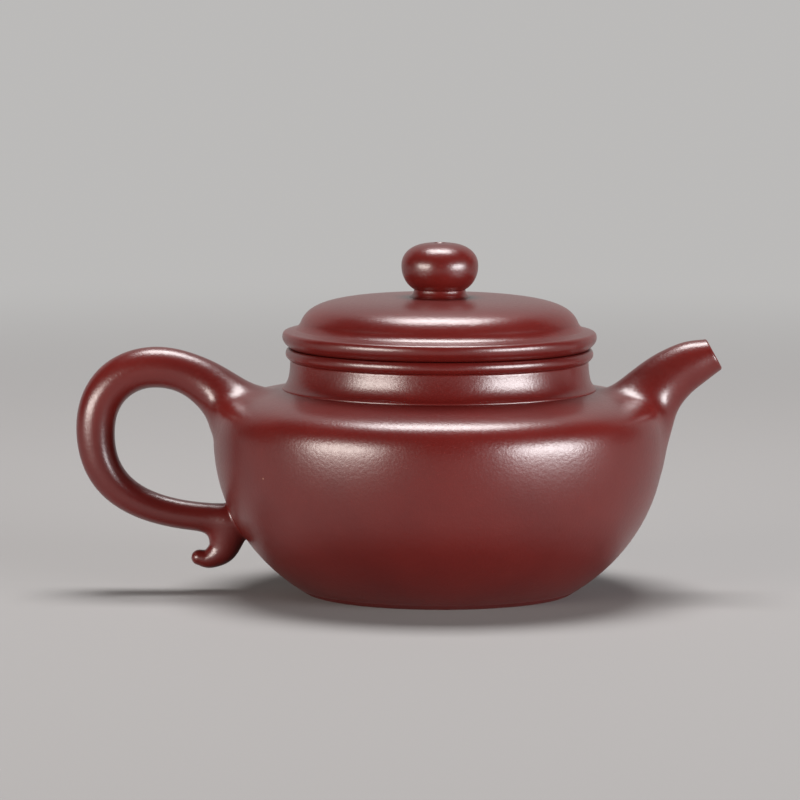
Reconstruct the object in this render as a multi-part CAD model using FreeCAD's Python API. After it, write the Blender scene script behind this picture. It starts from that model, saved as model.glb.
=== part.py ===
import FreeCAD, Part
import math
import os

# A small round clay teapot. Millimetres, +Z up, the origin at the centre of its base on the table.
# The spout points along +X and the handle along -X. Heights are above the table unless said.

# Belly, built up from a base disc, a beaten wall and a shoulder disc
base_radius = 27.5            # where the belly meets the table
base_thickness = 3.2
standing_ring = 4.5           # width of the flat ring that the pot stands on
base_hollow = 1.2             # how far the base is pressed in inside that ring
base_flat = 11.5              # radius of the hollow's flat middle
base_seam = 1.6               # the base disc's edge beyond the standing ring
base_angle = 30.0             # slope of the belly where it leaves the table
base_pull = 12.0              # how long it keeps near that slope
belly_radius = 46.4
belly_pull = 14.8             # how long the belly keeps upright below its widest line
belly_height = 32.0           # height of the widest line
shoulder_rise = 9.95          # from the widest line to the foot of the neck
shoulder_pull = 4.5           # how long the shoulder keeps upright above the widest line
shoulder_corner = 1.7         # how far under its top it turns in
shoulder_slope = 1.9          # fall of the shoulder over its flat part
shoulder_flat = 8.0           # width of that flat part
shoulder_seam = 7.0           # the shoulder disc's seam, in from the widest line
wall = 2.6

# Neck and mouth
mouth_radius = 27.85          # bore of the mouth
neck_wall = 2.8
neck_height = 5.95
neck_flare = 1.65             # how far the neck's foot spreads
neck_sweep = 0.9              # height over which it sweeps in
neck_lip = 0.45               # thin raised line round the neck's foot
mouth_rim_height = 2.45
mouth_rim_bead = 0.95         # how far the bead stands out from the neck
mouth_rim_step = 0.1          # how far its underside starts out from the neck
mouth_rim_round = 0.65        # reach of its rounding onto the mouth's flat top

# Lid
lid_seat_gap = 0.1            # between the lid and the mouth it rests on
flange_clearance = 0.25       # between the flange and the mouth's bore
flange_wall = 2.2
flange_depth = 6.4
lid_overlap = 0.7             # how far the lid stands out from the mouth's bead
lid_rim_height = 4.45
lid_rim_widest = 2.9          # height of the edge's widest line over the lid's underside
lid_rim_taper = 1.0           # how far the edge draws in below and above it
lid_rim_fall = 0.75           # fall of the ledge round the dome
lid_ledge = 3.5               # width of that ledge
dome_height = 6.0
dome_lean = 1.4               # how far the dome's side leans in
dome_shoulder = 0.82          # height of its soft corner, as a share of its rise
dome_corner = 6.3             # reach of that corner onto the nearly flat top
lid_wall = 2.8
vent_radius = 0.85

# Knob
stem_foot_radius = 6.4
stem_radius = 5.3
stem_height = 1.55
knob_radius = 7.9
knob_lower = 4.85             # from the stem to the widest line
knob_upper = 4.7              # from the widest line to the top
knob_flare = 1.6              # how far its underside spreads at once from the stem
knob_flare_rise = 0.95        # over this height
knob_lower_pull = 2.1         # how long it keeps upright below the widest line
knob_upper_pull = 3.0         # and above it
knob_top = 5.2                # radius of its nearly flat top

# Spout, along a curve from inside the belly out to the lip
spout_root_in = 8.8           # the curve's start, in from the belly's widest line
spout_root_down = 2.0         # and below it
spout_root_angle = 68.0
spout_root_pull = 15.0
spout_reach = 10.1            # the lip's centre, out from the belly's widest line
spout_rise = 17.35            # and above it
spout_lip_angle = 22.0        # the curve's slope at the lip
spout_lip_pull = 7.6
spout_cut_angle = 30.0        # the lip's plane looks up by this angle
spout_root_width = 16.4       # up and down the belly
spout_root_across = 12.6      # and round it
spout_lip_width = 6.9
spout_lip_wall = 1.2
spout_root_wall = 2.2
spout_taper = ((0, 0), (0.2, 0.12), (0.4, 0.42), (0.6, 0.6), (0.8, 0.75))  # way along, share of narrowing
spout_blend = 5.0             # fillet where the spout grows out of the belly
channel_overrun = 6.6         # how far the channel is cut in past the spout's start

# Strainer, a pierced ball inside the wall behind the spout
strainer_radius = 8.4
strainer_place = 0.15         # its centre, as a share of the way along the spout's curve
strainer_wall = 1.7
strainer_hole_radius = 0.8
strainer_rings = 2            # rings of holes round the middle one
strainer_ring_step = 27.0     # angle from one ring to the next
strainer_ring_holes = 6       # holes in the first ring, as many more in each next

# Handle, an ear along two curves that meet at its outermost point
handle_root_in = 6.5          # upper root's centre, in from the belly's widest line
handle_root_up = 2.0          # and above it
handle_root_angle = 60.0
handle_root_pull = 20.0
handle_reach = 24.3           # outermost centre, out from the belly's widest line
handle_outer_height = 33.0
handle_outer_pull_up = 16.2
handle_outer_pull_down = 14.5
handle_low_in = 9.0           # lower root's centre, in from the belly's widest line
handle_low_height = 14.9
handle_low_angle = 2.0        # how far the lower arm falls away from its root
handle_low_pull = 20.5
handle_root_thickness = 11.5
handle_thickness = 8.4
handle_low_thickness = 6.0
handle_spread = ((0, 1), (0.15, 0.6), (0.3, 0.1), (0.5, 0), (0.75, 0))     # way along, share of the root's
handle_taper = ((0, 0.2), (0.25, 0.5), (0.5, 0.85), (0.7, 1), (0.85, 1), (1, 1))     # and of the low end's
handle_upper_blend = 5.0      # fillet at the upper root
handle_lower_blend = 0.8      # and the tight one at the lower root

# Tail, the curled end of the handle below its lower root
tail_root_in = 3.6            # its start, in from the belly's widest line
tail_root_lean = 5.0          # how far it leans out as it comes down
tail_root_pull = 6.6
tail_drop = 8.2               # the tip's centre below the start
tail_reach = 8.9              # and out from it
tail_tip_lift = 8.0           # slope of the curl up to its tip
tail_tip_pull = 4.5
tail_root_thickness = 8.0
tail_root_across = 5.0        # under the handle's own thickness, so that it starts inside
tail_tip_thickness = 3.1
tail_taper = ((0, 0), (0.25, 0.15), (0.5, 0.55), (0.75, 0.9), (1, 1))      # way along, share of thinning
tail_tip_round = 0.45         # its tip's rounding, as a share of the tip's thickness

# Sizes that follow from those above
shoulder_height = belly_height + shoulder_rise
neck_radius = mouth_radius + neck_wall
neck_foot_radius = neck_radius + neck_flare
neck_top = shoulder_height + neck_height
mouth_top = neck_top + mouth_rim_height
mouth_rim_radius = neck_radius + mouth_rim_bead
lid_base = mouth_top + lid_seat_gap
flange_radius = mouth_radius - flange_clearance
flange_bore = flange_radius - flange_wall
lid_rim_radius = mouth_rim_radius + lid_overlap
dome_foot = lid_base + lid_rim_height
dome_foot_radius = lid_rim_radius - lid_ledge
dome_top = dome_foot + dome_height
stem_top = dome_top + stem_height


def at(radius, height):
    return FreeCAD.Vector(radius, 0, height)


def lines(*points):
    return [Part.makeLine(at(*a), at(*b)) for a, b in zip(points, points[1:])]


def curve(*poles):
    bezier = Part.BezierCurve()
    bezier.setPoles([at(*pole) for pole in poles])
    return bezier.toShape()


def turned(*edges):
    """A solid of revolution, with its seam a quarter turn away from the spout and the handle."""
    face = Part.Face(Part.Wire(Part.__sortEdges__(list(edges))))
    solid = face.revolve(at(0, 0), at(0, 1), 360)
    solid.rotate(at(0, 0), at(0, 1), 90)
    return solid


def cylinder(radius, low, high):
    return Part.makeCylinder(radius, high - low, at(0, low))


def along(start, angle, length):
    turn = math.radians(angle)
    return start[0] + length * math.cos(turn), start[1] + length * math.sin(turn)


def bowl(inset):
    """The poles of the belly's lower outline, from the widest line down, drawn in for its inside."""
    foot = along((base_radius, 0), base_angle + 90, inset)
    radius = belly_radius - inset
    upright = (radius, belly_height - belly_pull)
    return [(radius, belly_height), upright, along(foot, base_angle, base_pull), foot]


def shoulder(inset):
    """The poles of the upper outline, which leaves the widest line with the bowl's own curvature."""
    side, upright, lower, foot = bowl(inset)
    rise = shoulder_rise - inset
    shrink = rise / shoulder_rise
    top = belly_height + rise
    pull = shoulder_pull * shrink
    curvature = (side[0] - lower[0]) * 2 / 3 / belly_pull ** 2    # at the end of a curve with four poles
    bend = curvature * pull ** 2 * 4 / 3                          # the same with five poles
    return [side, (side[0], belly_height + pull), (side[0] - bend, top - shoulder_corner * shrink),
            (neck_foot_radius + shoulder_flat * shrink, top - shoulder_slope), (neck_foot_radius, top)]


def pot_outside():
    poles = bowl(0)
    top = (neck_foot_radius, shoulder_height)
    return turned(curve(*poles), curve(*shoulder(0)), *lines(top, (0, shoulder_height), (0, 0), poles[-1]))


def pot_inside():
    poles = bowl(wall)
    foot = poles[-1]
    under = shoulder_height - wall
    above = mouth_top + lid_rim_height
    mouth = lines((neck_foot_radius, under), (mouth_radius, under), (mouth_radius, above),
                  (0, above), (0, foot[1]), foot)
    hollow = turned(curve(*poles), curve(*shoulder(wall)), *mouth)
    return hollow.cut(cylinder(belly_radius, 0, base_thickness))


def base_recess():
    """The shallow hollow pressed into the underside."""
    rim = base_radius - standing_ring
    side = curve((rim, 0), ((rim + base_flat) / 2, base_hollow), (base_flat, base_hollow))
    return turned(side, *lines((base_flat, base_hollow), (0, base_hollow), (0, 0), (rim, 0)))


def pot_walls(outside, inside, channel):
    shell = outside.cut(inside).cut(base_recess())
    base_zone = cylinder(base_radius + base_seam, 0, belly_height)
    shoulder_zone = cylinder(belly_radius - shoulder_seam, belly_height, mouth_top)
    return {
        "base_disc": shell.common(base_zone),
        "belly_wall": shell.cut(base_zone).cut(shoulder_zone).cut(channel),
        "shoulder_disc": shell.common(shoulder_zone).cut(channel),
    }


def neck_band():
    """A waisted band whose foot ends in a thin raised line on the shoulder."""
    line_top = shoulder_height + neck_lip
    line_edge = (neck_foot_radius - neck_lip / 2, line_top)
    line = curve((neck_foot_radius, shoulder_height), (neck_foot_radius, line_top), line_edge)
    waist = curve(line_edge, (neck_radius, line_top + neck_sweep), (neck_radius, neck_top))
    return turned(line, waist, *lines((neck_radius, neck_top), (mouth_radius, neck_top),
                                      (mouth_radius, shoulder_height), (neck_foot_radius, shoulder_height)))


def rounded_edge(low, radius, middle, high):
    """An edge's outline from a low point out to its widest line and over to a high point."""
    lower = curve(low, (radius, (low[1] + middle) / 2), (radius, middle))
    upper = curve((radius, middle), (radius, high[1]), high)
    return [lower, upper]


def mouth_rim():
    low = (neck_radius + mouth_rim_step, neck_top)
    high = (mouth_rim_radius - mouth_rim_round, mouth_top)
    bead = rounded_edge(low, mouth_rim_radius, neck_top + mouth_rim_height / 2, high)
    return turned(*bead, *lines(high, (mouth_radius, mouth_top), (mouth_radius, neck_top), low))


def lid_flange():
    low = mouth_top - flange_depth
    return cylinder(flange_radius, low, lid_base).cut(cylinder(flange_bore, low, lid_base))


def lid_rim():
    low = (lid_rim_radius - lid_rim_taper, lid_base)
    high = (lid_rim_radius - lid_rim_taper, dome_foot - lid_rim_fall)
    edge = rounded_edge(low, lid_rim_radius, lid_base + lid_rim_widest, high)
    return turned(*edge, *lines(high, (dome_foot_radius, dome_foot), (flange_bore, dome_foot),
                                (flange_bore, lid_base), low))


def dome_outline(foot_radius, top):
    """From the foot up a steep side and over a soft corner to the nearly flat top."""
    corner_rise = (top - dome_foot) * dome_shoulder
    return curve((foot_radius, dome_foot), (foot_radius - dome_lean / 3, dome_foot + corner_rise / 4),
                 (foot_radius - dome_lean, dome_foot + corner_rise), (foot_radius - dome_corner, top),
                 (stem_foot_radius, top))


def lid_dome():
    inner_top = dome_top - lid_wall
    outer = [dome_outline(dome_foot_radius, dome_top),
             *lines((stem_foot_radius, dome_top), (0, dome_top), (0, dome_foot), (dome_foot_radius, dome_foot))]
    inner = [dome_outline(flange_bore, inner_top),
             *lines((stem_foot_radius, inner_top), (0, inner_top), (0, dome_foot), (flange_bore, dome_foot))]
    return turned(*outer).cut(turned(*inner)).cut(cylinder(vent_radius, dome_foot, dome_top))


def knob_stem():
    waist = (stem_radius, dome_top + stem_height / 4)
    side = curve((stem_foot_radius, dome_top), waist, (stem_radius, stem_top))
    return turned(side, *lines((stem_radius, stem_top), (vent_radius, stem_top),
                               (vent_radius, dome_top), (stem_foot_radius, dome_top)))


def knob():
    """A flattened ball, pierced down its middle by the vent."""
    foot = (stem_radius, stem_top)
    side = (knob_radius, stem_top + knob_lower)
    top = side[1] + knob_upper
    lower = curve(foot, (stem_radius + knob_flare, stem_top + knob_flare_rise),
                  (knob_radius, side[1] - knob_lower_pull), side)
    upper = curve(side, (knob_radius, side[1] + knob_upper_pull), (knob_top, top), (vent_radius, top))
    return turned(lower, upper, *lines((vent_radius, top), (vent_radius, stem_top), foot))


def swept(route, stations):
    """Rings along a route: each station is a share of the route, a width in its plane and one across."""
    rings = []
    first, last = route.ParameterRange
    for share, width, across in stations:
        place = first + (last - first) * share
        rings.append(ring(route.valueAt(place), route.tangentAt(place), width, across))
    return rings


def ring(centre, normal, width, across):
    stretch = FreeCAD.Matrix()
    stretch.scale(width / 2, across / 2, 1)
    oval = Part.Wire(Part.makeCircle(1).transformGeometry(stretch).Edges)
    sideways = FreeCAD.Vector(0, 1, 0)
    turn = FreeCAD.Rotation(sideways.cross(normal), sideways, normal, "ZYX")
    oval.Placement = FreeCAD.Placement(centre, turn)
    return oval


def grown_on(outside, limb, blends):
    """The pot's outside with a limb joined to it and a fillet at each root."""
    joined = outside.fuse(limb)
    for low, high, radius in blends:
        joined = joined.makeFillet(radius, roots(joined, low, high))
    return joined


def cut_free(joined, outside):
    """The limb alone: what the pot's outside leaves of the joined solid, furthest from the middle."""
    return max(joined.cut(outside).Solids, key=lambda solid: abs(solid.CenterOfMass.x))


def roots(joined, low, high):
    """The edges where a limb's lofted side meets the turned outside, between two heights."""
    found = []
    for edge in joined.Edges:
        kinds = {type(face.Surface).__name__ for face in joined.ancestorsOfType(edge, Part.Face)}
        if kinds == {"BSplineSurface", "SurfaceOfRevolution"} and low < edge.CenterOfMass.z < high:
            found.append(edge)
    return found


def spout_route():
    root = (belly_radius - spout_root_in, belly_height - spout_root_down)
    lip = (belly_radius + spout_reach, belly_height + spout_rise)
    return curve(root, along(root, spout_root_angle, spout_root_pull),
                 along(lip, spout_lip_angle + 180, spout_lip_pull), lip)


def spout_rings(root_inset, lip_inset):
    """The spout's sections, drawn in by a wall at the root and at the lip for its channel."""
    stations = []
    for share, taper in spout_taper:
        inset = root_inset + (lip_inset - root_inset) * share
        width = spout_root_width + (spout_lip_width - spout_root_width) * taper
        across = spout_root_across + (spout_lip_width - spout_root_across) * taper
        stations.append((share, width - 2 * inset, across - 2 * inset))
    route = spout_route()
    lip_bore = spout_lip_width - 2 * lip_inset
    lip_centre = route.valueAt(route.ParameterRange[1])
    lip_way = at(*along((0, 0), spout_cut_angle, 1))
    return swept(route, stations) + [ring(lip_centre, lip_way, lip_bore, lip_bore)]


def spout_solid():
    return Part.makeLoft(spout_rings(0, 0), True)


def spout_channel():
    """The way through the spout, run on past the lip and in past the wall."""
    rings = spout_rings(spout_root_wall, spout_lip_wall)
    inward = rings[0].copy()
    inward.translate(at(*along((0, 0), spout_root_angle, -channel_overrun)))
    outward = rings[-1].copy()
    outward.translate(at(*along((0, 0), spout_cut_angle, spout_lip_wall)))
    return Part.makeLoft([inward, *rings, outward], True)


def strainer_dome(inside):
    """A thin ball against the inner wall round the spout's channel, with rings of holes on its bulge."""
    route = spout_route()
    first, last = route.ParameterRange
    place = first + (last - first) * strainer_place
    centre = route.valueAt(place)
    inward = -route.tangentAt(place)
    bore = strainer_radius - strainer_wall
    ball = Part.makeSphere(strainer_radius, centre).cut(Part.makeSphere(bore, centre))
    across = FreeCAD.Vector(0, 1, 0)
    holes = []
    for ring in range(strainer_rings + 1):
        count = max(1, ring * strainer_ring_holes)
        tilt = FreeCAD.Rotation(across, ring * strainer_ring_step).multVec(inward)
        for turn in range(count):
            way = FreeCAD.Rotation(inward, 360 * turn / count).multVec(tilt)
            holes.append(Part.makeCylinder(strainer_hole_radius, strainer_radius, centre + way * bore / 2, way))
    return ball.common(inside).cut(Part.makeCompound(holes))


def handle_solid():
    root = (-(belly_radius - handle_root_in), belly_height + handle_root_up)
    outer = (-(belly_radius + handle_reach), handle_outer_height)
    low = (-(belly_radius - handle_low_in), handle_low_height)
    upper = curve(root, along(root, 180 - handle_root_angle, handle_root_pull),
                  along(outer, 90, handle_outer_pull_up), outer)
    lower = curve(outer, along(outer, 270, handle_outer_pull_down),
                  along(low, 180 + handle_low_angle, handle_low_pull), low)
    sections = []
    for route, end_thickness, marks in ((upper, handle_root_thickness, handle_spread),
                                        (lower, handle_low_thickness, handle_taper)):
        for share, much in marks:
            thickness = handle_thickness + (end_thickness - handle_thickness) * much
            sections += swept(route, [(share, thickness, thickness)])
    return Part.makeLoft(sections, True)


def tail_solid():
    """The curl that comes out under the lower root, drawn thin and rounded off at its tip."""
    start = (-(belly_radius - tail_root_in), handle_low_height)
    tip = (start[0] - tail_reach, start[1] - tail_drop)
    route = curve(start, along(start, 270 - tail_root_lean, tail_root_pull),
                  along(tip, -tail_tip_lift, tail_tip_pull), tip)
    stations = []
    for share, thin in tail_taper:
        width = tail_root_thickness + (tail_tip_thickness - tail_root_thickness) * thin
        across = tail_root_across + (tail_tip_thickness - tail_root_across) * thin
        stations.append((share, width, across))
    curl = Part.makeLoft(swept(route, stations), True)
    tip_edge = min(curl.Edges, key=lambda edge: edge.CenterOfMass.x)
    return curl.makeFillet(tail_tip_thickness * tail_tip_round, [tip_edge])


def build():
    outside = pot_outside()
    inside = pot_inside()
    channel = spout_channel()
    parts = pot_walls(outside, inside, channel)
    parts["neck_band"] = neck_band()
    parts["mouth_rim"] = mouth_rim()
    with_spout = grown_on(outside, spout_solid(), [(0, mouth_top, spout_blend)])
    parts["spout"] = cut_free(with_spout, outside).cut(channel)
    parts["strainer_dome"] = strainer_dome(inside)
    with_handle = grown_on(outside, handle_solid(), [(handle_outer_height, mouth_top, handle_upper_blend),
                                                     (0, handle_outer_height, handle_lower_blend)])
    parts["handle_loop"] = cut_free(with_handle, outside)
    parts["handle_tail"] = tail_solid().cut(with_handle)
    parts["lid_flange"] = lid_flange()
    parts["lid_rim"] = lid_rim()
    parts["lid_dome"] = lid_dome()
    parts["knob_stem"] = knob_stem()
    parts["knob"] = knob()
    return parts


os.makedirs("parts", exist_ok=True)
for name, shape in build().items():
    print(name, shape.isValid(), len(shape.Solids), round(shape.Volume, 1))
    shape.exportStep("parts/" + name + ".step")
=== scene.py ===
import math
import bpy
import numpy as np
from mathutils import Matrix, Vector


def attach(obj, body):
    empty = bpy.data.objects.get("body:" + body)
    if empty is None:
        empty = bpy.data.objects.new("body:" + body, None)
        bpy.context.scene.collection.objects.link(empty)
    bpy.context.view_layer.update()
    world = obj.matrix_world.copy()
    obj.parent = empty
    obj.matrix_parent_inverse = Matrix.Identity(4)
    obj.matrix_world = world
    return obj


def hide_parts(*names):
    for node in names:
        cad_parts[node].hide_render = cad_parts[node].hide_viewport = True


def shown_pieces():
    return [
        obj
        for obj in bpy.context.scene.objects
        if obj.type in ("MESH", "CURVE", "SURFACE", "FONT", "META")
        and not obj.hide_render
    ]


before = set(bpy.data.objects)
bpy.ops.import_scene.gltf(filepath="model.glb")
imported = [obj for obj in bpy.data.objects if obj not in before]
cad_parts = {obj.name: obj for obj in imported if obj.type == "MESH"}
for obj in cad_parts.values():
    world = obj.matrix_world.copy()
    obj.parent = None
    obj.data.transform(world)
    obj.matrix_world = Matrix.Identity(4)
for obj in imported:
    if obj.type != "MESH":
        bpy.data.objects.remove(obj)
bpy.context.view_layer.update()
mm = 0.001      # all shapes below are worked out in millimetres
print("frame loaded,", len(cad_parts), "clay pieces")


# Lines and outlines

def bezier(poles, share):
    share = np.asarray(share, float)[..., None]
    layer = [np.asarray(pole, float) for pole in poles]
    while len(layer) > 1:
        layer = [a + (b - a) * share for a, b in zip(layer, layer[1:])]
    return layer[0]


def sweepLine(*poles, count=400):
    return bezier(poles, np.linspace(0, 1, count))


def polar(start, degrees, length):
    turn = math.radians(degrees)
    return (start[0] + length * math.cos(turn), start[1] + length * math.sin(turn))


def joinLines(*lines):
    return np.concatenate([np.asarray(line, float) for line in lines])


def evenly(points, step):
    keep = np.concatenate([[True], np.linalg.norm(np.diff(points, axis=0), axis=1) > 1e-7])
    points = points[keep]
    run = np.concatenate([[0], np.cumsum(np.linalg.norm(np.diff(points, axis=0), axis=1))])
    count = max(3, int(round(run[-1] / step)) + 1)
    at = np.linspace(0, run[-1], count)
    return np.stack([np.interp(at, run, points[:, i]) for i in range(2)], 1)


def outwardNormals(points, closed=False):
    if closed:
        along = np.roll(points, -1, 0) - np.roll(points, 1, 0)
    else:
        along = np.gradient(points, axis=0, edge_order=2)
    normals = np.stack([along[:, 1], -along[:, 0]], 1)
    return normals / np.linalg.norm(normals, axis=1)[:, None]


def softOutline(corners, softness, step=0.04):
    # a closed outline with every edge worn round, as fingers and a wet cloth leave clay
    points = evenly(joinLines(corners, corners[:1]), step)[:-1]
    reach = int(4 * softness / step)
    weights = np.exp(-0.5 * (np.arange(-reach, reach + 1) * step / softness) ** 2)
    weights /= weights.sum()
    return sum(weight * np.roll(points, shift, 0) for weight, shift in zip(weights, range(-reach, reach + 1)))


def thinOut(points, normals, maxTurn=5.0, maxStep=1.1):
    # keeps the points that the outline's bends need
    kept = [0]
    turned = 0.0
    for i in range(1, len(points)):
        turned += math.degrees(math.acos(np.clip(np.dot(normals[i - 1], normals[i]), -1, 1)))
        far = np.linalg.norm(points[i] - points[kept[-1]])
        if turned > maxTurn or far > maxStep:
            kept.append(i)
            turned = 0.0
    return points[kept], normals[kept]


# Meshes

ringPoints = 224    # round the belly, neck and lid


def newPiece(name, mesh, body, node):
    piece = bpy.data.objects.new(name, mesh)
    bpy.context.scene.collection.objects.link(piece)
    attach(piece, body)
    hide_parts(node)


def turnOutline(name, bands, capped=(), segments=ringPoints):
    # bands: runs of points and normals that follow each other round the outline, with the clay on the left
    points, rows = [], []
    for run, normals in bands:
        start = len(points)
        points += list(run[:-1])
        rows += [(start + i, start + i + 1, normals[i], normals[i + 1]) for i in range(len(run) - 1)]
    if capped:
        points.append(bands[-1][0][-1])
    count = len(points)
    turn = np.linspace(0, 2 * math.pi, segments, endpoint=False)
    circle = np.stack([np.cos(turn), np.sin(turn)], 1)
    points = np.array(points)
    heights = np.repeat(points[:, None, 1:], segments, 1)
    verts = np.concatenate([points[:, None, :1] * circle[None], heights], 2)
    faces, loopNormals = [], []
    for low, high, lowNormal, highNormal in rows:
        high %= count
        for j in range(segments):
            k = (j + 1) % segments
            faces.append((low * segments + j, low * segments + k, high * segments + k, high * segments + j))
            for normal, place in ((lowNormal, j), (lowNormal, k), (highNormal, k), (highNormal, j)):
                loopNormals.append((normal[0] * circle[place, 0], normal[0] * circle[place, 1], normal[1]))
    for ring, facing in capped:
        face = [ring * segments + j for j in range(segments)]
        faces.append(face if facing > 0 else face[::-1])
        loopNormals += [(0, 0, facing)] * segments
    mesh = bpy.data.meshes.new(name)
    mesh.from_pydata((verts.reshape(-1, 3) * mm).tolist(), [], faces)
    mesh.polygons.foreach_set("use_smooth", np.ones(len(faces), bool))
    mesh.normals_split_custom_set(loopNormals)
    mesh.update()
    return mesh


def turnSoft(name, corners, softness, segments=ringPoints):
    # a ring of clay turned from a few corners, with its edges worn round
    points = softOutline(np.asarray(corners, float), softness)
    points, normals = thinOut(points, outwardNormals(points, closed=True))
    closing = (np.concatenate([points, points[:1]]), np.concatenate([normals, normals[:1]]))
    return turnOutline(name, [closing], segments=segments)


def ringSkin(rings):
    # points, faces and normals of a closed skin through rings of points
    rings = np.asarray(rings)
    count, around = rings.shape[:2]
    points = rings.reshape(-1, 3)
    row, place = np.meshgrid(np.arange(count - 1), np.arange(around), indexing="ij")
    after = (place + 1) % around
    faces = np.stack([row * around + place, row * around + after, (row + 1) * around + after,
                      (row + 1) * around + place], -1).reshape(-1, 4)
    across = np.cross(points[faces[:, 2]] - points[faces[:, 0]], points[faces[:, 3]] - points[faces[:, 1]])
    normals = np.zeros_like(points)
    for corner in range(4):
        np.add.at(normals, faces[:, corner], across)
    normals /= np.linalg.norm(normals, axis=1)[:, None] + 1e-12
    ends = [list(range(around))[::-1], [(count - 1) * around + j for j in range(around)]]
    return points, faces.tolist() + ends, normals


def joinSkins(name, *skins):
    points = np.concatenate([skin[0] for skin in skins])
    starts = np.cumsum([0] + [len(skin[0]) for skin in skins])
    faces = [[start + i for i in face] for start, skin in zip(starts, skins) for face in skin[1]]
    mesh = bpy.data.meshes.new(name)
    mesh.from_pydata((points * mm).tolist(), [], faces)
    mesh.polygons.foreach_set("use_smooth", np.ones(len(faces), bool))
    mesh.normals_split_custom_set_from_vertices(np.concatenate([skin[2] for skin in skins]).tolist())
    return mesh


# Pot: base, wall and shoulder share one outline, so that their luted seams don't show

potShape = {
    "baseRadius": 27.5, "baseThickness": 3.2, "standingRing": 4.5, "baseHollow": 1.2, "baseFlat": 11.5,
    "baseSeam": 1.6, "baseAngle": 30.0, "basePull": 12.0,
    "bellyRadius": 46.4, "bellyHeight": 32.0, "bellyPull": 14.8,
    "shoulderRise": 9.95, "shoulderPull": 4.5, "shoulderCorner": 1.7, "shoulderSlope": 1.9,
    "shoulderFlat": 8.0, "shoulderSeam": 7.0, "wall": 2.6, "neckFoot": 32.3, "mouthRadius": 27.85,
    "capRadius": 0.5,       # flat discs that close the base in its middle
    "footStep": 0.3, "discStep": 0.5, "wallStep": 0.6, "insideFootStep": 0.4, "insideDiscStep": 0.8,
    "insideWallStep": 1.0,  # spacing of the rings
}


def potOutline(inset):
    p = potShape
    foot = polar((p["baseRadius"], 0), p["baseAngle"] + 90, inset)
    side = (p["bellyRadius"] - inset, p["bellyHeight"])
    upright = (side[0], p["bellyHeight"] - p["bellyPull"])
    lower = polar(foot, p["baseAngle"], p["basePull"])
    rise = p["shoulderRise"] - inset
    shrink = rise / p["shoulderRise"]
    top = p["bellyHeight"] + rise
    pull = p["shoulderPull"] * shrink
    # the shoulder leaves the widest ring with the bowl's own bend
    bend = (side[0] - lower[0]) * 2 / 3 / p["bellyPull"] ** 2 * pull ** 2 * 4 / 3
    bowl = sweepLine(foot, lower, upright, side)
    shoulder = sweepLine(side, (side[0], side[1] + pull),
                         (side[0] - bend, top - p["shoulderCorner"] * shrink),
                         (p["neckFoot"] + p["shoulderFlat"] * shrink, top - p["shoulderSlope"]),
                         (p["neckFoot"], top))
    return joinLines(bowl, shoulder[1:])


def cutLine(points, radius, rising):
    # the stretch of an outline before and after it passes a radius, going out or coming in
    widest = points[:, 0].argmax()
    span = range(1, widest + 1) if rising else range(widest + 1, len(points))
    for i in span:
        a, b = points[i - 1], points[i]
        if (a[0] - radius) * (b[0] - radius) <= 0 and a[0] != b[0]:
            cut = a + (b - a) * (radius - a[0]) / (b[0] - a[0])
            return joinLines(points[:i], cut[None]), joinLines(cut[None], points[i:])


def band(points, step):
    run = evenly(np.asarray(points, float), step)
    return run, outwardNormals(run)


def flat(a, b, step=2.0):
    return band(np.array([a, b], float), step)


outer = potOutline(0)
inner = potOutline(potShape["wall"])


def makePot():
    p = potShape
    baseEdge = p["baseRadius"] + p["baseSeam"]
    discEdge = p["bellyRadius"] - p["shoulderSeam"]
    outFoot, outRest = cutLine(outer, baseEdge, True)
    outWall, outTop = cutLine(outRest, discEdge, False)
    inside = inner[inner[:, 1] > p["baseThickness"]]
    inFoot, inRest = cutLine(inside, baseEdge, True) if inside[0, 0] < baseEdge else (inside[:1], inside)
    inWall, inTop = cutLine(inRest, discEdge, False)
    ring = p["baseRadius"] - p["standingRing"]
    hollowMiddle = ((ring + p["baseFlat"]) / 2, p["baseHollow"])
    hollow = sweepLine((p["baseFlat"], p["baseHollow"]), hollowMiddle, (ring, 0))
    base = [flat((p["capRadius"], p["baseHollow"]), (p["baseFlat"], p["baseHollow"]), step=3.0),
            band(hollow, p["discStep"]), flat((ring, 0), (p["baseRadius"], 0)),
            band(outFoot, p["footStep"]), flat(outFoot[-1], inFoot[-1]),
            band(inFoot[::-1], p["insideFootStep"]),
            flat(inFoot[0], (p["capRadius"], p["baseThickness"]), step=4.0)]
    lastRing = sum(len(run) - 1 for run, _ in base)
    baseMesh = turnOutline("baseDisc", base, capped=((0, -1), (lastRing, 1)))
    newPiece("baseDisc", baseMesh, "pot", "base_disc")
    wall = [band(outWall, p["wallStep"]), flat(outWall[-1], inWall[-1]),
            band(inWall[::-1], p["insideWallStep"]), flat(inWall[0], outWall[0])]
    newPiece("bellyWall", turnOutline("bellyWall", wall), "pot", "belly_wall")
    under = (p["mouthRadius"], inTop[-1, 1])
    above = (p["mouthRadius"], outTop[-1, 1])
    disc = [band(outTop, p["discStep"]), flat(outTop[-1], above), flat(above, under, step=1.0),
            flat(under, inTop[-1]), band(inTop[::-1], p["insideDiscStep"]), flat(inTop[0], outTop[0])]
    newPiece("shoulderDisc", turnOutline("shoulderDisc", disc), "pot", "shoulder_disc")


makePot()
print("base, wall and shoulder turned")


# Neck and mouth

neckShape = {
    "foot": 41.95, "top": 47.9, "wall": 2.8, "flare": 1.65, "sweep": 0.9, "line": 0.45,
    "rimHeight": 2.45, "rimBead": 0.95, "rimStep": 0.1, "rimRound": 0.95,
    "softness": 0.13, "footSoftness": 0.24, "sunk": 0.2,    # sunk into the shoulder
}


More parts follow.
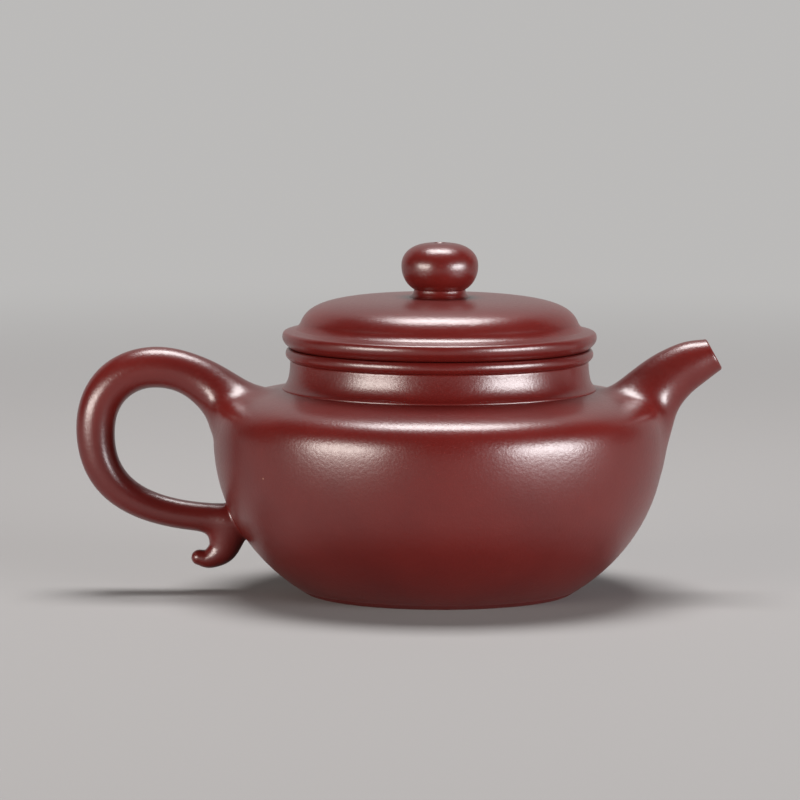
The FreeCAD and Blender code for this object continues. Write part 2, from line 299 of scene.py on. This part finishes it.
def edgeCurve(low, radius, middle, high):
    lower = sweepLine(low, (radius, (low[1] + middle) / 2), (radius, middle))
    return joinLines(lower, sweepLine((radius, middle), (radius, high[1]), high))


def makeNeck():
    n = neckShape
    bore = potShape["mouthRadius"]
    radius = bore + n["wall"]
    footRadius = radius + n["flare"]
    lineTop = n["foot"] + n["line"]
    lineEdge = (footRadius - n["line"] / 2, lineTop)
    sunk = n["foot"] - n["sunk"]
    corners = joinLines([(bore, sunk), (footRadius, sunk)],
                        sweepLine((footRadius, n["foot"]), (footRadius, lineTop), lineEdge),
                        sweepLine(lineEdge, (radius, lineTop + n["sweep"]), (radius, n["top"])),
                        [(bore, n["top"])])
    newPiece("neckBand", turnSoft("neckBand", corners, n["footSoftness"]), "pot", "neck_band")
    rimTop = n["top"] + n["rimHeight"]
    rimRadius = radius + n["rimBead"]
    low = (radius + n["rimStep"], n["top"])
    high = (rimRadius - n["rimRound"], rimTop)
    bead = edgeCurve(low, rimRadius, n["top"] + n["rimHeight"] / 2, high)
    corners = joinLines([(bore, n["top"])], bead, [(bore, rimTop)])
    newPiece("mouthRim", turnSoft("mouthRim", corners, n["softness"]), "pot", "mouth_rim")


makeNeck()
print("neck and mouth turned")


# Lid and knob

lidShape = {
    "base": 50.45, "foot": 54.9, "flangeRadius": 27.6, "flangeWall": 2.2, "flangeDepth": 6.5,
    "rimRadius": 32.3, "rimWidest": 2.2, "rimUnder": 1.6, "rimTaper": 1.0, "rimFall": 1.05, "ledge": 3.5,
    "ledgeFall": 0.25, "footFlare": 1.8, "flareFall": 0.95, "flareSink": 0.05, "flareRise": 1.0,
    "domeHeight": 6.0, "domeLean": 1.4, "domeShoulder": 0.82, "domeCorner": 6.3, "wall": 2.8,
    "ventRadius": 0.85, "softness": 0.16, "flangeSoftness": 0.3,
}
knobShape = {
    "stemFoot": 6.4, "stemRadius": 5.3, "stemHeight": 1.55, "radius": 7.9, "lower": 4.85, "upper": 4.7,
    "flare": 1.6, "flareRise": 0.95, "lowerPull": 2.1, "upperPull": 3.0, "top": 5.2, "ventWorn": 0.45,
    "softness": 0.12, "stemSegments": 128, "segments": 160,
}


def domeLine(footRadius, top):
    lid = lidShape
    corner = (top - lid["foot"]) * lid["domeShoulder"]
    return sweepLine((footRadius, lid["foot"]),
                     (footRadius - lid["domeLean"] / 3, lid["foot"] + corner / 4),
                     (footRadius - lid["domeLean"], lid["foot"] + corner),
                     (footRadius - lid["domeCorner"], top), (knobShape["stemFoot"], top))


def makeLid():
    lid = lidShape
    bore = lid["flangeRadius"] - lid["flangeWall"]
    low = lid["base"] - lid["flangeDepth"]
    rim = lid["flangeRadius"]
    corners = [(bore, low), (rim, low), (rim, lid["base"]), (bore, lid["base"])]
    flange = turnSoft("lidFlange", corners, lid["flangeSoftness"])
    newPiece("lidFlange", flange, "lid_flange", "lid_flange")
    lowEdge = (lid["rimRadius"] - lid["rimUnder"], lid["base"])
    highEdge = (lid["rimRadius"] - lid["rimTaper"], lid["foot"] - lid["rimFall"])
    ledgeEnd = (lid["rimRadius"] - lid["ledge"], lid["foot"] - lid["ledgeFall"])
    edge = edgeCurve(lowEdge, lid["rimRadius"], lid["base"] + lid["rimWidest"], highEdge)
    corners = joinLines([(bore, lid["base"])], edge, [ledgeEnd, (bore, lid["foot"])])
    newPiece("lidRim", turnSoft("lidRim", corners, lid["softness"]), "lid", "lid_rim")
    top = lid["foot"] + lid["domeHeight"]
    under = top - lid["wall"]
    inside = domeLine(bore, under)[::-1]
    outside = domeLine(ledgeEnd[0], top)
    # the dome's foot runs out over the rim in a hollow curve
    rising = outside[outside[:, 1] > lid["foot"] + lid["flareRise"]]
    flareFoot = (ledgeEnd[0] + lid["footFlare"], lid["foot"] - lid["flareFall"])
    flareCorner = (ledgeEnd[0] - lid["flareSink"], ledgeEnd[1] - lid["flareSink"])
    flare = sweepLine(flareFoot, flareCorner, rising[0])
    corners = joinLines(flare, rising[1:], [(lid["ventRadius"], top)], [(lid["ventRadius"], under)], inside)
    newPiece("lidDome", turnSoft("lidDome", corners, lid["softness"]), "lid", "lid_dome")


def makeKnob():
    k = knobShape
    vent = lidShape["ventRadius"]
    low = lidShape["foot"] + lidShape["domeHeight"]
    top = low + k["stemHeight"]
    waist = (k["stemRadius"], low + k["stemHeight"] / 4)
    side = sweepLine((k["stemFoot"], low), waist, (k["stemRadius"], top))
    corners = joinLines([(vent, low)], side, [(vent, top)])
    stem = turnSoft("knobStem", corners, k["softness"], k["stemSegments"])
    newPiece("knobStem", stem, "lid", "knob_stem")
    widest = (k["radius"], top + k["lower"])
    peak = widest[1] + k["upper"]
    lower = sweepLine((k["stemRadius"], top), (k["stemRadius"] + k["flare"], top + k["flareRise"]),
                      (k["radius"], widest[1] - k["lowerPull"]), widest)
    mouth = (vent + k["ventWorn"], peak)
    upper = sweepLine(widest, (k["radius"], widest[1] + k["upperPull"]), (k["top"], peak), mouth)
    corners = joinLines([(vent, top)], lower, upper, [(vent, peak - k["ventWorn"])])
    newPiece("knob", turnSoft("knob", corners, k["softness"], k["segments"]), "lid", "knob")


makeLid()
makeKnob()
print("lid and knob turned")


# Limbs: a centre line in the pot's own plane, with a half width in that plane and one across it.
# The span is the stretch that is smoothed into the belly, and the fade says how gently it ends.

def bellyGap(points, step=0.7, batch=4000):
    # signed distance to the pot's outside, less than nothing inside
    where = np.stack([np.hypot(points[:, 0], points[:, 1]), points[:, 2]], 1)
    line = evenly(joinLines([(0, 0)], outer, [(0, outer[-1, 1])]), step)
    a, b = line[:-1], line[1:]
    edge = b - a
    found = np.empty(len(where))
    for start in range(0, len(where), batch):
        some = where[start:start + batch]
        reach = some[:, None] - a[None]
        share = np.clip((reach * edge).sum(2) / (edge ** 2).sum(1), 0, 1)
        found[start:start + batch] = np.linalg.norm(reach - share[..., None] * edge, axis=2).min(1)
    within = (where[:, 0] < np.interp(where[:, 1], outer[:, 1], outer[:, 0])) & (where[:, 1] > 0)
    within &= where[:, 1] < outer[-1, 1]
    return np.where(within, -found, found)


def slope(gap, points, step=0.02):
    # the way in which a field grows, as unit vectors
    sides = [gap(points + np.eye(3)[i] * step) - gap(points - np.eye(3)[i] * step) for i in range(3)]
    ways = np.stack(sides, 1)
    return ways / np.linalg.norm(ways, axis=1)[:, None]


def smoothStations(marks):
    # a size that runs smoothly through (share, size) marks
    marks = np.array(marks, float)
    rate = np.gradient(marks[:, 1], marks[:, 0])

    def size(share):
        i = np.clip(np.searchsorted(marks[:, 0], share, side="right") - 1, 0, len(marks) - 2)
        span = marks[i + 1, 0] - marks[i, 0]
        t = (share - marks[i, 0]) / span
        a, b = marks[i, 1], marks[i + 1, 1]
        return (a * (1 + 2 * t) * (1 - t) ** 2 + b * t ** 2 * (3 - 2 * t)
                + rate[i] * span * t * (1 - t) ** 2 + rate[i + 1] * span * t ** 2 * (t - 1))
    return size


def limbLine(*curves):
    # share 0 to 1 runs along the first curve, 1 to 2 along the next
    def place(share):
        share = np.asarray(share, float)
        centre = np.zeros(share.shape + (2,))
        ahead = np.zeros_like(centre)
        for number, poles in enumerate(curves):
            here = (share >= number) | (number == 0)
            local = share[here] - number
            legs = np.diff(np.array(poles, float), axis=0)
            centre[here] = bezier(poles, local)
            ahead[here] = bezier(legs, local)
        return centre, ahead / np.linalg.norm(ahead, axis=-1)[..., None]
    return place


def limbSkin(limb, share, turn):
    # points on the limb's skin, at a share of its length and a turn round it
    centre, ahead = limb["line"](share)
    if "tilt" in limb:
        lean = np.radians(limb["tilt"](share))
        ahead = np.stack([ahead[..., 0] * np.cos(lean) - ahead[..., 1] * np.sin(lean),
                          ahead[..., 0] * np.sin(lean) + ahead[..., 1] * np.cos(lean)], -1)
    wide = limb["wide"](share) * np.cos(turn)
    across = limb["across"](share) * np.sin(turn)
    return np.stack([centre[..., 0] - ahead[..., 1] * wide, across,
                     centre[..., 1] + ahead[..., 0] * wide], -1)


def limbGap(limb, points, stations=90, rounds=6, small=1e-3):
    # how far points are outside the limb, and which way round it they are
    marks = np.linspace(*limb["span"], stations)
    centre = limb["line"](marks)[0]
    where = points[:, [0, 2]]
    share = marks[((where[:, None] - centre) ** 2).sum(2).argmin(1)]
    for _ in range(rounds):
        centre, ahead = limb["line"](share)
        further = limb["line"](share + small)[0]
        speed = np.linalg.norm(further - centre, axis=1) / small
        share = np.clip(share + ((where - centre) * ahead).sum(1) / speed, *limb["span"])
    centre, ahead = limb["line"](share)
    reach = where - centre
    rise = reach[:, 1] * ahead[:, 0] - reach[:, 0] * ahead[:, 1]
    wide = limb["wide"](share)
    side = points[:, 1] * wide / limb["across"](share)
    far = np.hypot(rise, side)
    beyond = (reach * ahead).sum(1)     # past the limb's end, where the clay fades out
    return far - wide + beyond ** 2 / limb["fade"], rise / np.maximum(far, 1e-6)


def softUnion(a, b, reach):
    # two fields made one, with the corner between them filled round
    mix = np.maximum(reach - np.abs(a - b), 0) / reach
    return np.minimum(a, b) - reach * mix ** 3 / 6


def settle(field, points, rounds=3):
    # moves points onto the skin where a field is nothing, and gives the skin's normals
    for _ in range(rounds):
        points = points - slope(field, points) * field(points)[:, None]
    return points, slope(field, points)


def fieldSkin(field, wanted, low, high, step):
    # a net of squares over the skin where a field is nothing, kept where it is wanted
    axes = [np.arange(a, b, step) for a, b in zip(low, high)]
    grid = np.stack(np.meshgrid(*axes, indexing="ij"), -1)
    solid = (field(grid.reshape(-1, 3)) < 0).reshape(grid.shape[:3])
    cells = tuple(size - 1 for size in solid.shape)
    filled = sum(solid[i:cells[0] + i, j:cells[1] + j, k:cells[2] + k].astype(int)
                 for i in (0, 1) for j in (0, 1) for k in (0, 1))
    used = (filled > 0) & (filled < 8)
    middles = grid[:-1, :-1, :-1][used] + step / 2
    kept = wanted(middles)
    used[used] = kept
    number = np.full(used.shape, -1)
    number[used] = np.arange(used.sum())
    points, normals = settle(field, middles[kept])
    faces = []
    for axis in range(3):
        ahead, beyond = [slice(1, -1)] * 3, [slice(1, -1)] * 3
        ahead[axis], beyond[axis] = slice(0, -1), slice(1, None)
        here, there = solid[tuple(ahead)], solid[tuple(beyond)]
        one, two = np.eye(3, dtype=int)[(axis + 1) % 3], np.eye(3, dtype=int)[(axis + 2) % 3]
        place = np.argwhere(here != there)
        outward = here[tuple(place.T)]
        place = place + 1 - np.eye(3, dtype=int)[axis]
        quad = np.stack([number[tuple((place - i * one - j * two).T)]
                         for i, j in ((1, 1), (0, 1), (0, 0), (1, 0))], 1)
        quad[~outward] = quad[~outward][:, ::-1]
        faces += quad[(quad >= 0).all(1)].tolist()
    return points, faces, normals


def evenNormals(normals, net, rounds=4, own=0.01):
    # each normal takes up those of the squares round it, and its own a little where there are none
    for _ in range(rounds):
        total = normals * own
        for corner in range(4):
            np.add.at(total, net[:, corner], normals[net].sum(1))
        normals = total / np.linalg.norm(total, axis=1)[:, None]
    return normals


def rootWeb(limb, shape, under=0.007):
    # the clay smoothed into the corner between a limb and the belly: it dips just under both at its edges
    first, side, last = shape["blends"]
    step = shape["webStep"]

    def parts(points):
        gap, facing = limbGap(limb, points)
        reach = side + np.where(facing > 0, first - side, last - side) * facing ** 2
        return gap + under, bellyGap(points) + under, reach

    def wanted(points):
        a, b, reach = parts(points)
        return np.abs(a - b) < reach + 2 * step

    def field(points):
        return softUnion(*parts(points))

    points, faces, normals = fieldSkin(field, wanted, *shape["webBox"], step)
    return points, faces, evenNormals(normals, np.array(faces))


around = 112    # points in each ring of a limb
turns = np.linspace(0, 2 * math.pi, around, endpoint=False)


def limbRings(limb, shares):
    return [limbSkin(limb, np.full(around, share), turns) for share in shares]


spoutShape = {
    "root": (37.6, 30.0), "rootAngle": 68.0, "rootPull": 15.0,
    "lip": (56.5, 49.35), "lipAngle": 22.0, "lipPull": 7.6, "cutAngle": 30.0,
    "rootWidth": 16.4, "rootAcross": 12.6, "lipWidth": 6.9, "lipWall": 1.2, "rootWall": 2.2,
    "taper": ((0, 0), (0.2, 0.12), (0.4, 0.42), (0.6, 0.6), (0.8, 0.75), (1, 1)),
    "cutStations": (0, 0.6, 0.8, 1), "lipRound": 0.5, "channelEnd": 0.42,
    "tubeStart": 0.1, "tubeRings": 60, "lipRings": 11, "channelRings": 16,
    "span": (0.0, 0.8), "fade": 7.0,
    "blends": (5.0, 9.0, 3.6),      # over, beside and under the root
    "webBox": ((30, -18.3, 15), (56, 18.3, 52)), "webStep": 0.6,
}


def makeSpout():
    s = spoutShape
    poles = [s["root"], polar(s["root"], s["rootAngle"], s["rootPull"]),
             polar(s["lip"], s["lipAngle"] + 180, s["lipPull"]), s["lip"]]
    line = limbLine(poles)

    def limbOf(rootInset, lipInset):
        wide, across = [], []
        for share, much in s["taper"]:
            inset = rootInset + (lipInset - rootInset) * share
            wide.append((share, (s["rootWidth"] + (s["lipWidth"] - s["rootWidth"]) * much) / 2 - inset))
            across.append((share, (s["rootAcross"] + (s["lipWidth"] - s["rootAcross"]) * much) / 2 - inset))
        leans = (0, 0, 0, s["cutAngle"] - s["lipAngle"])
        return {"line": line, "wide": smoothStations(wide), "across": smoothStations(across),
                "tilt": smoothStations(list(zip(s["cutStations"], leans))),
                "span": s["span"], "fade": s["fade"]}

    skin = limbOf(0, 0)
    channel = limbOf(s["rootWall"], s["lipWall"])
    lipShare = 1 - s["lipRound"] / (3 * s["lipPull"])   # leaves room for the round lip
    tube = limbRings(skin, np.linspace(s["tubeStart"], lipShare, s["tubeRings"]))
    bore = limbRings(channel, np.linspace(lipShare, s["channelEnd"], s["channelRings"]))
    middle = (tube[-1] + bore[0]) / 2
    cut = math.radians(s["cutAngle"])
    bulge = np.array([math.cos(cut), 0, math.sin(cut)]) * s["lipRound"]
    lip = [middle + (tube[-1] - middle) * math.cos(turn) + bulge * math.sin(turn)
           for turn in np.linspace(0, math.pi, s["lipRings"])[1:-1]]
    mesh = joinSkins("spout", ringSkin(tube + lip + bore), rootWeb(skin, s))
    newPiece("spout", mesh, "pot", "spout")


makeSpout()
print("spout drawn out of the belly")


handleShape = {
    "root": (-39.9, 34.0), "rootAngle": 120.0, "rootPull": 20.0,
    "outer": (-70.7, 33.0), "outerPullUp": 16.2, "outerPullDown": 14.5,
    "low": (-37.4, 14.9), "lowAngle": 182.0, "lowPull": 20.5,
    "thickness": 8.4, "rootThickness": 11.5, "lowThickness": 6.0,
    "spread": ((0, 1), (0.15, 0.6), (0.3, 0.1), (0.5, 0), (0.75, 0)),
    "taper": ((0, 0.2), (0.25, 0.5), (0.5, 0.85), (0.7, 1), (0.85, 1), (1, 1)),
    "tubeStart": 0.02, "tubeRings": 170,
    "span": (0.08, 0.85), "fade": 4.0,
    "blends": (5.0, 9.5, 9.0),      # within the loop, beside and over the root
    "webBox": ((-60, -18.3, 18), (-31, 18.3, 52)), "webStep": 0.6,
}


def handleLimb():
    h = handleShape
    upper = [h["root"], polar(h["root"], h["rootAngle"], h["rootPull"]),
             (h["outer"][0], h["outer"][1] + h["outerPullUp"]), h["outer"]]
    lower = [h["outer"], (h["outer"][0], h["outer"][1] - h["outerPullDown"]),
             polar(h["low"], h["lowAngle"], h["lowPull"]), h["low"]]
    marks = []
    for start, end, run in ((0, "rootThickness", h["spread"]), (1, "lowThickness", h["taper"])):
        for share, much in run:
            marks.append((start + share, (h["thickness"] + (h[end] - h["thickness"]) * much) / 2))
    size = smoothStations(marks)
    return {"line": limbLine(upper, lower), "wide": size, "across": size,
            "span": h["span"], "fade": h["fade"]}


handle = handleLimb()


def makeHandle():
    h = handleShape
    tube = limbRings(handle, np.linspace(h["tubeStart"], 2, h["tubeRings"]))    # 2 ends the second curve
    mesh = joinSkins("handleLoop", ringSkin(tube), rootWeb(handle, h))
    newPiece("handleLoop", mesh, "pot", "handle_loop")


# The tail: balls along a spine, grown together with the handle's low arm and creased against the belly

tailShape = {
    "spine": ((-43.0, 13.2), (-43.5, 11.2), (-44.6, 8.3), (-47.2, 6.5), (-49.4, 6.7)),
    "wide": (2.7, 3.4, 2.85, 2.0, 1.6), "across": (2.6, 2.8, 2.4, 1.9, 1.6),
    "armSpan": (1.5, 2), "join": 4.6, "crease": 1.2, "under": 0.012, "margin": 1.0, "stations": 120,
    "box": ((-53, -5.6, 2), (-36, 5.6, 20.5)), "step": 0.3,
}


def makeTail():
    t = tailShape
    marks = np.linspace(0, 1, len(t["spine"]))
    share = np.linspace(0, 1, t["stations"])

    def along(sizes):
        return smoothStations(np.stack([marks, sizes], 1))(share)

    spine = np.stack([along(places) for places in zip(*t["spine"])], 1)
    wide = along(t["wide"])
    squeeze = wide / along(t["across"])

    def tailGap(points):
        reach = np.sqrt((points[:, None, 0] - spine[:, 0]) ** 2 + (points[:, None, 1] * squeeze) ** 2
                        + (points[:, None, 2] - spine[:, 1]) ** 2)
        return (reach - wide).min(1)

    arm = dict(handle, span=t["armSpan"])

    def gap(points):
        grown = softUnion(tailGap(points), limbGap(arm, points)[0] + t["under"], t["join"])
        return softUnion(grown, bellyGap(points) + t["under"], t["crease"])

    def wanted(points):
        tail, held = tailGap(points), limbGap(arm, points)[0]
        shell = np.minimum(held, tail) - bellyGap(points)
        crease = t["crease"] + t["margin"]
        return (tail - held < t["join"] + t["margin"]) & (shell < crease) | (np.abs(shell) < crease)

    skin = fieldSkin(gap, wanted, *t["box"], t["step"])
    newPiece("handleTail", joinSkins("handleTail", skin), "pot", "handle_tail")


makeHandle()
makeTail()
print("handle and tail drawn")


# Finishes

def addNode(tree, kind, place, **values):
    node = tree.nodes.new(kind)
    node.location = place
    for name, value in values.items():
        if name in node.inputs:
            node.inputs[name].default_value = value
        else:
            setattr(node, name, value)
    return node


def rampNode(tree, place, stops, source):
    node = tree.nodes.new("ShaderNodeValToRGB")
    node.location = place
    elements = node.color_ramp.elements
    while len(elements) < len(stops):
        elements.new(0.5)
    for element, (position, colour) in zip(elements, stops):
        element.position = position
        element.color = (*colour, 1)
    tree.links.new(source, node.inputs["Fac"])
    return node


clayFinish = {
    "dark": (0.080, 0.0042, 0.0030), "middle": (0.090, 0.0050, 0.0035), "light": (0.100, 0.0066, 0.0047),
    "speck": (0.36, 0.19, 0.13), "speckSpacing": 0.006, "speckRadius": 0.00022,
    "speckCore": 0.6, "speckShare": 0.14,
    "roughness": (0.25, 0.37), "specular": 0.7, "bumpStrength": 0.3,
    "grainSize": 0.0006, "grainDepth": 0.00010, "peelSize": 0.0022, "peelDepth": 0.00007,
    "cloudSize": 0.018, "cloudStops": (0.3, 0.5, 0.72),     # where the cloud is dark, middle and light
}
mattFinish = dict(clayFinish, roughness=(0.56, 0.72), specular=0.4, grainDepth=0.00022, peelDepth=0.00016)
mattPieces = ("lidFlange", "strainer_dome", "baseDisc")


def emptyMaterial(name):
    material = bpy.data.materials.new(name)
    material.use_nodes = True
    material.node_tree.nodes.clear()
    return material, material.node_tree, material.node_tree.links.new


def clayMaterial(name, finish):
    material, tree, link = emptyMaterial(name)
    output = addNode(tree, "ShaderNodeOutputMaterial", (900, 0))
    shader = addNode(tree, "ShaderNodeBsdfPrincipled", (600, 0))
    shader.inputs["Specular IOR Level"].default_value = finish["specular"]
    link(shader.outputs["BSDF"], output.inputs["Surface"])
    where = addNode(tree, "ShaderNodeTexCoord", (-1200, 0)).outputs["Object"]
    cloud = addNode(tree, "ShaderNodeTexNoise", (-900, 300), Scale=1 / finish["cloudSize"],
                    Detail=5.0, Roughness=0.6)
    grain = addNode(tree, "ShaderNodeTexNoise", (-900, 0), Scale=1 / finish["grainSize"],
                    Detail=2.0, Roughness=0.55)
    peel = addNode(tree, "ShaderNodeTexNoise", (-900, -300), Scale=1 / finish["peelSize"],
                   Detail=2.0, Roughness=0.5)
    sand = addNode(tree, "ShaderNodeTexVoronoi", (-900, 600), Scale=1 / finish["speckSpacing"])
    for node in (cloud, grain, peel, sand):
        link(where, node.inputs["Vector"])
    shades = list(zip(finish["cloudStops"], (finish["dark"], finish["middle"], finish["light"])))
    colour = rampNode(tree, (-600, 300), shades, cloud.outputs["Fac"])
    # pale grains of sand: small discs in a few of the cells
    edge = finish["speckRadius"] / finish["speckSpacing"]
    few = finish["speckShare"]
    white, black = (1, 1, 1), (0, 0, 0)
    core = edge * finish["speckCore"]
    disc = rampNode(tree, (-600, 600), [(core, white), (edge, black)], sand.outputs["Distance"])
    some = rampNode(tree, (-600, 850), [(few, white), (few + 0.01, black)], sand.outputs["Color"])
    both = addNode(tree, "ShaderNodeMath", (-300, 700), operation="MULTIPLY")
    link(disc.outputs["Color"], both.inputs[0])
    link(some.outputs["Color"], both.inputs[1])
    speckled = addNode(tree, "ShaderNodeMix", (0, 400), data_type="RGBA")
    link(both.outputs["Value"], speckled.inputs["Factor"])
    link(colour.outputs["Color"], speckled.inputs[6])       # sockets 6, 7 and 2 are those for colours
    speckled.inputs[7].default_value = (*finish["speck"], 1)
    link(speckled.outputs[2], shader.inputs["Base Color"])
    rough = addNode(tree, "ShaderNodeMapRange", (-300, 0))
    rough.inputs["To Min"].default_value, rough.inputs["To Max"].default_value = finish["roughness"]
    link(grain.outputs["Fac"], rough.inputs["Value"])
    link(rough.outputs["Result"], shader.inputs["Roughness"])
    strength = finish["bumpStrength"]
    broad = addNode(tree, "ShaderNodeBump", (-150, -400), Strength=strength, Distance=finish["peelDepth"])
    fine = addNode(tree, "ShaderNodeBump", (100, -200), Strength=strength, Distance=finish["grainDepth"])
    link(peel.outputs["Fac"], broad.inputs["Height"])
    link(broad.outputs["Normal"], fine.inputs["Normal"])
    link(grain.outputs["Fac"], fine.inputs["Height"])
    link(fine.outputs["Normal"], shader.inputs["Normal"])
    return material


burnished = clayMaterial("burnishedClay", clayFinish)
matt = clayMaterial("mattClay", mattFinish)
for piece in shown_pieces():
    piece.data.materials.clear()
    piece.data.materials.append(matt if piece.name in mattPieces else burnished)
print("finishes laid on")


# Floor, lamps and camera

studio = {
    "floorColour": (0.30, 0.296, 0.292), "backdropColour": (0.50, 0.492, 0.485),
    "backdropFrom": (0.28, 0.75),   # distances from the pot between which the floor fades to the backdrop
    "floorFront": -1.6, "halfWidth": 3.0, "curveStart": 1.2, "curveRadius": 0.8, "curveSteps": 16,
    "wallTop": 2.4,
    "worldColour": (0.9, 0.92, 1.0), "worldStrength": 0.03,
    "lamps": {
        "leftSoftbox": {"azimuth": -49, "height": 0.12, "distance": 0.9, "size": (0.56, 0.23), "power": 8.2,
                        "colour": (1.0, 0.92, 0.86)},
        "rightSoftbox": {"azimuth": 56, "height": 0.12, "distance": 0.9, "size": (0.6, 0.23), "power": 11.2,
                         "colour": (1.0, 0.985, 1.0)},
        "topSoftbox": {"azimuth": 180, "height": 1.0, "distance": 0.22, "size": (0.56, 0.46), "power": 14.0,
                       "colour": (1.0, 0.97, 0.97)},
    },
}
view = {
    "target": (0, 0, 0.033), "distance": 1.1, "elevation": 6.5, "roll": 0.25, "lens": 240.5, "sensor": 36,
    "clipStart": 0.05,
    "axisX": 439.1, "targetY": 431.7, "image": 800,     # where the target is in the picture, in pixels
}


def lookAt(thing, place, target):
    thing.location = place
    thing.rotation_euler = (Vector(target) - Vector(place)).to_track_quat("-Z", "Y").to_euler()


def floorMaterial():
    # lit paper near the pot, which fades into a plain pale backdrop all round it
    material, tree, link = emptyMaterial("floorPaper")
    output = addNode(tree, "ShaderNodeOutputMaterial", (600, 0))
    both = addNode(tree, "ShaderNodeMixShader", (400, 0))
    paper = addNode(tree, "ShaderNodeBsdfPrincipled", (0, -150), Roughness=0.8)
    paper.inputs["Base Color"].default_value = (*studio["floorColour"], 1)
    pale = addNode(tree, "ShaderNodeEmission", (0, -500), Strength=1.0)
    pale.inputs["Color"].default_value = (*studio["backdropColour"], 1)
    far = addNode(tree, "ShaderNodeVectorMath", (-600, 300), operation="LENGTH")
    link(addNode(tree, "ShaderNodeTexCoord", (-800, 300)).outputs["Object"], far.inputs[0])
    fade = addNode(tree, "ShaderNodeMapRange", (-400, 300), interpolation_type="SMOOTHSTEP")
    fade.inputs["From Min"].default_value, fade.inputs["From Max"].default_value = studio["backdropFrom"]
    link(far.outputs["Value"], fade.inputs["Value"])
    path = addNode(tree, "ShaderNodeLightPath", (-800, 0))
    seen = addNode(tree, "ShaderNodeMath", (-600, 0), operation="ADD")
    link(path.outputs["Is Camera Ray"], seen.inputs[0])
    link(path.outputs["Is Glossy Ray"], seen.inputs[1])
    through = addNode(tree, "ShaderNodeMath", (-400, 0), operation="ADD", use_clamp=True)
    link(seen.outputs["Value"], through.inputs[0])
    link(path.outputs["Is Transmission Ray"], through.inputs[1])
    share = addNode(tree, "ShaderNodeMath", (-200, 150), operation="MULTIPLY")
    link(fade.outputs["Result"], share.inputs[0])
    link(through.outputs["Value"], share.inputs[1])
    link(share.outputs["Value"], both.inputs["Fac"])
    link(paper.outputs["BSDF"], both.inputs[1])
    link(pale.outputs["Emission"], both.inputs[2])
    link(both.outputs["Shader"], output.inputs["Surface"])
    return material


def makeStudio():
    floorMesh = bpy.data.meshes.new("floor")
    start, radius = studio["curveStart"], studio["curveRadius"]
    curve = [(start + radius * math.sin(turn), radius - radius * math.cos(turn))
             for turn in np.linspace(0, math.pi / 2, studio["curveSteps"])]
    profile = [(studio["floorFront"], 0.0)] + curve + [(start + radius, studio["wallTop"])]
    verts = [(x, y, z) for y, z in profile for x in (-studio["halfWidth"], studio["halfWidth"])]
    faces = [(2 * i, 2 * i + 1, 2 * i + 3, 2 * i + 2) for i in range(len(profile) - 1)]
    floorMesh.from_pydata(verts, [], faces)
    floorMesh.polygons.foreach_set("use_smooth", np.ones(len(faces), bool))
    floor = bpy.data.objects.new("floor", floorMesh)
    bpy.context.scene.collection.objects.link(floor)
    floorMesh.materials.append(floorMaterial())
    world = bpy.data.worlds.new("studioWorld")
    bpy.context.scene.world = world
    world.use_nodes = True
    background = world.node_tree.nodes["Background"]
    background.inputs["Color"].default_value = (*studio["worldColour"], 1)
    background.inputs["Strength"].default_value = studio["worldStrength"]
    for name, lamp in studio["lamps"].items():
        light = bpy.data.lights.new(name, "AREA")
        light.shape = "RECTANGLE"
        light.size, light.size_y = lamp["size"]
        light.energy = lamp["power"]
        light.color = lamp["colour"]
        holder = bpy.data.objects.new(name, light)
        bpy.context.scene.collection.objects.link(holder)
        turn = math.radians(lamp["azimuth"])
        place = (lamp["distance"] * math.sin(turn), -lamp["distance"] * math.cos(turn), lamp["height"])
        lookAt(holder, place, view["target"])


def makeCamera():
    camera = bpy.data.objects.new("camera", bpy.data.cameras.new("camera"))
    bpy.context.scene.collection.objects.link(camera)
    rise = math.radians(view["elevation"])
    target = Vector(view["target"])
    place = target + Vector((0, -math.cos(rise), math.sin(rise))) * view["distance"]
    lookAt(camera, place, target)
    camera.rotation_euler.rotate_axis("Z", math.radians(view["roll"]))
    camera.data.lens = view["lens"]
    camera.data.sensor_width = view["sensor"]
    half = view["image"] / 2
    camera.data.shift_x = (half - view["axisX"]) / view["image"]
    camera.data.shift_y = (view["targetY"] - half) / view["image"]
    camera.data.clip_start = view["clipStart"]
    bpy.context.scene.camera = camera


makeStudio()
makeCamera()
bpy.context.scene.view_settings.view_transform = "Standard"
print("studio set")

bpy.context.view_layer.update()
